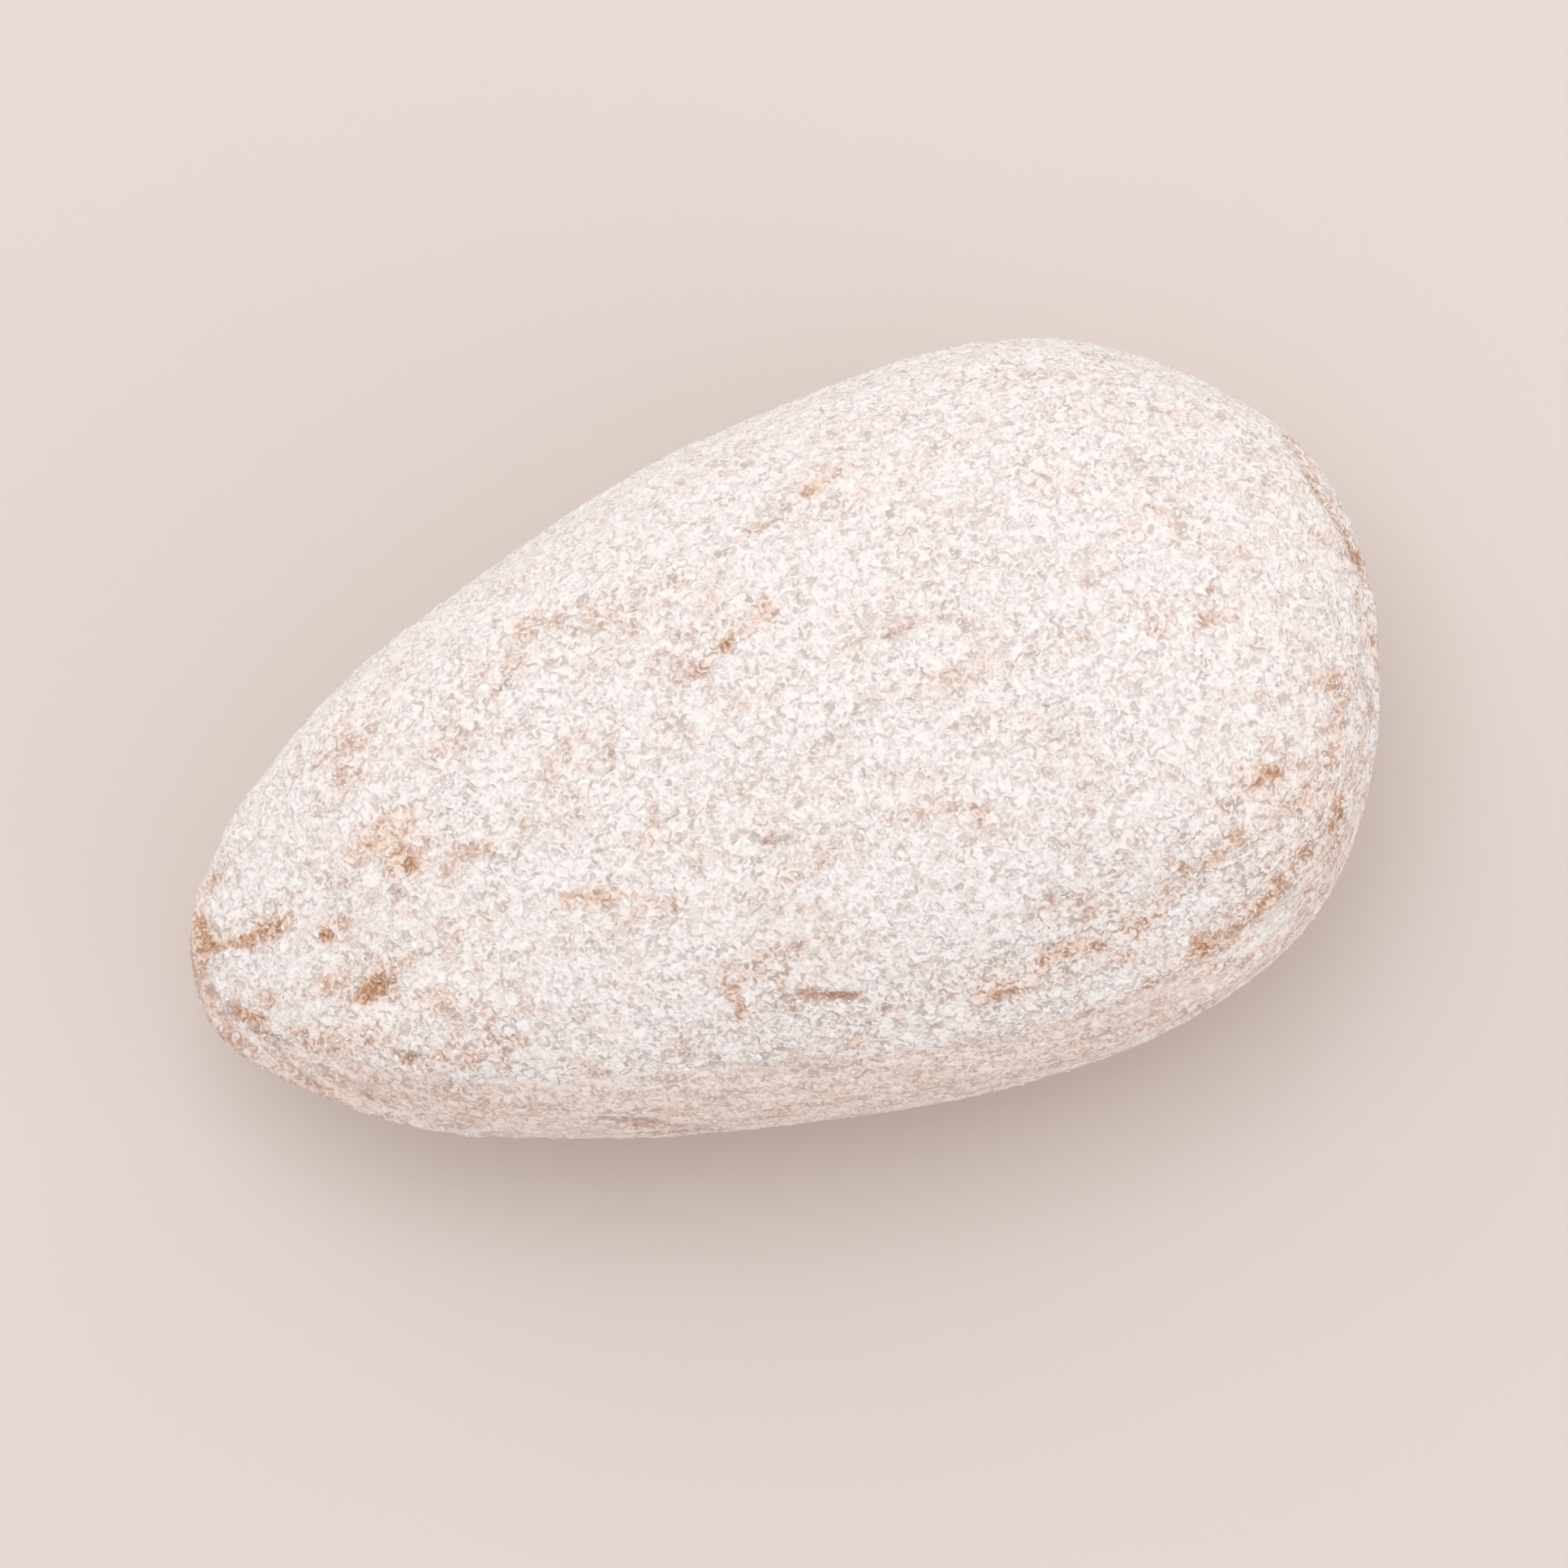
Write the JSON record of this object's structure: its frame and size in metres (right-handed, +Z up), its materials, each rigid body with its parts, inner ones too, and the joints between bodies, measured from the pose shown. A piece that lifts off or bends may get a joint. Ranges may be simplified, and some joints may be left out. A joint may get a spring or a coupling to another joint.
{
  "type": "salty licorice candy",
  "caption": "Almond-shaped hard candy, plump at one end and pinched at the other, with a seam round its waist and a coat of pale powder.",
  "frame": {"origin": "on the surface that the candy rests on, under the middle of its bounding box", "axes": "+X from the pinched tip to the round butt, +Y to the left flank seen from the tip's side, +Z up through the broad face"},
  "size_m": [0.03, 0.0176, 0.0126],
  "materials": {
    "candy": "matte, dusted with fine powder"
  },
  "bodies": {
    "root": {"candy": "candy"}
  },
  "joints": []
}
